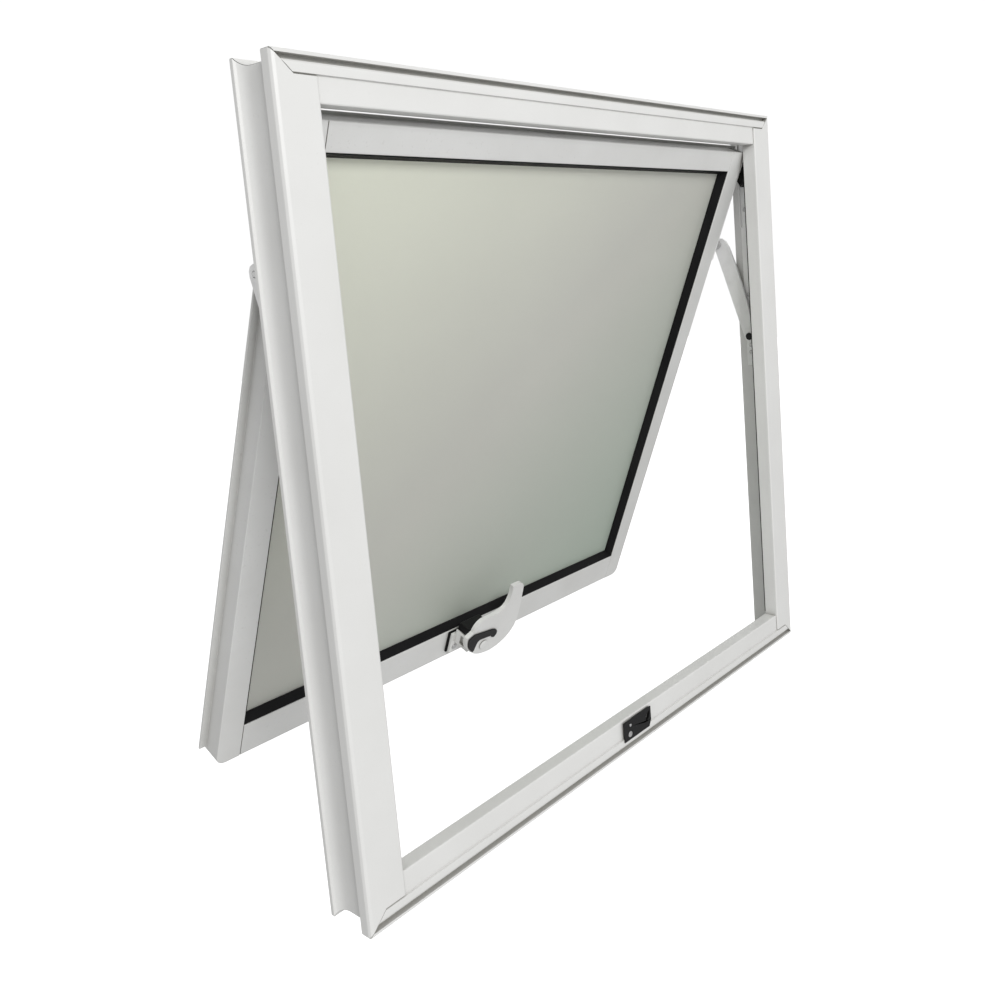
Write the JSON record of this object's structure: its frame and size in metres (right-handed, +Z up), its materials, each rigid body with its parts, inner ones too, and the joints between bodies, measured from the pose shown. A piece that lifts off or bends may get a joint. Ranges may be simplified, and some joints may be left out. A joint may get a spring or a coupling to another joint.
{
  "type": "top-hung window",
  "caption": "Top-hung aluminium window with a frosted pane, friction stays and a lever latch, shown open.",
  "frame": {"origin": "middle of the sill's underside, in the plane of the frame's front face", "axes": "+X to the right seen from the room, +Y outdoors, +Z up"},
  "size_m": [0.6, 0.2697, 0.6],
  "materials": {
    "frame_paint": "satin white powder coat",
    "sash_paint": "satin white powder coat, lightly soiled",
    "latch_paint": "satin white paint on a casting",
    "key_alloy": "mill finish",
    "stay_steel": "brushed stainless",
    "pin_steel": "bright stainless",
    "seal_rubber": "matte black",
    "gasket_rubber": "matte black",
    "pad_rubber": "matte black",
    "black_plastic": "matte black",
    "black_hardware": "satin black",
    "frosted_glass": "frosted, faintly green"
  },
  "bodies": {
    "root": {"bracket_rivet_left_lower": "pin_steel", "bracket_rivet_left_upper": "pin_steel", "bracket_rivet_right_lower": "pin_steel", "bracket_rivet_right_upper": "pin_steel", "corner_key_lower_left": "key_alloy", "corner_key_lower_right": "key_alloy", "corner_key_upper_left": "key_alloy", "corner_key_upper_right": "key_alloy", "frame_head": "frame_paint", "frame_jamb_left": "frame_paint", "frame_jamb_right": "frame_paint", "frame_pivot_pin_left": "black_plastic", "frame_pivot_pin_right": "black_plastic", "frame_sill": "frame_paint", "keeper": "black_hardware", "keeper_screw_lower": "pin_steel", "keeper_screw_upper": "pin_steel", "seal_head": "seal_rubber", "seal_jamb_left": "seal_rubber", "seal_jamb_right": "seal_rubber", "seal_sill": "seal_rubber", "stay_bracket_left": "stay_steel", "stay_bracket_right": "stay_steel", "stay_track_left": "stay_steel", "stay_track_right": "stay_steel", "track_screw_left_lower": "pin_steel", "track_screw_left_upper": "pin_steel", "track_screw_right_lower": "pin_steel", "track_screw_right_upper": "pin_steel"},
    "sash": {"arm_pin_left": "pin_steel", "arm_pin_right": "pin_steel", "glass_pane": "frosted_glass", "glazing_bead_bottom": "sash_paint", "glazing_bead_left": "sash_paint", "glazing_bead_right": "sash_paint", "glazing_bead_top": "sash_paint", "glazing_gasket_front": "gasket_rubber", "glazing_gasket_rear": "gasket_rubber", "latch_base": "latch_paint", "latch_cover": "black_hardware", "latch_pad": "pad_rubber", "latch_pivot_pin": "pin_steel", "latch_screw_left": "pin_steel", "latch_screw_right": "pin_steel", "sash_bar_left": "stay_steel", "sash_bar_right": "stay_steel", "sash_rail_bottom": "sash_paint", "sash_rail_top": "sash_paint", "sash_stile_left": "sash_paint", "sash_stile_right": "sash_paint", "shoe_pin_left": "pin_steel", "shoe_pin_right": "pin_steel"},
    "latch_lever": {"latch_lever": "latch_paint", "lever_hook_inlay": "black_hardware", "lever_pivot_cap": "latch_paint"},
    "stay_arm_left": {"stay_arm_left": "stay_steel"},
    "stay_arm_right": {"stay_arm_right": "stay_steel"},
    "stay_shoe_left": {"stay_shoe_left": "black_plastic"},
    "stay_shoe_right": {"stay_shoe_right": "black_plastic"}
  },
  "joints": [
    {"name": "stay_right", "type": "hinge", "parent": "root", "child": "stay_arm_right", "pos_m": [0.288, 0.0306, 0.3561], "axis": [1, 0, 0], "range_deg": [0, 18.57]},
    {"name": "stay_left", "type": "hinge", "parent": "root", "child": "stay_arm_left", "pos_m": [-0.288, 0.0306, 0.3561], "axis": [1, 0, 0], "range_deg": [-0.5, 19.07]},
    {"name": "sash_tilt", "type": "hinge", "parent": "stay_arm_right", "child": "sash", "pos_m": [0.288, 0.06639, 0.46265], "axis": [1, 0, 0], "range_deg": [-43.57, 1]},
    {"name": "shoe_right", "type": "hinge", "parent": "sash", "child": "stay_shoe_right", "pos_m": [0.288, 0.0306, 0.54304], "axis": [1, 0, 0], "range_deg": [-1, 25]},
    {"name": "shoe_left", "type": "hinge", "parent": "sash", "child": "stay_shoe_left", "pos_m": [-0.288, 0.0306, 0.54304], "axis": [1, 0, 0], "range_deg": [-1, 25]},
    {"name": "latch_turn", "type": "hinge", "parent": "sash", "child": "latch_lever", "pos_m": [0.001, 0.20793, 0.05771], "axis": [0, -0.9135, -0.4067], "range_deg": [0, 90]}
  ],
  "couplings": [
    {"joint": "stay_left", "follows": "stay_right", "ratio": 1},
    {"joint": "sash_tilt", "follows": "stay_right", "ratio": -2.2925},
    {"joint": "shoe_right", "follows": "stay_right", "ratio": 1.2925},
    {"joint": "shoe_left", "follows": "stay_right", "ratio": 1.2925}
  ]
}
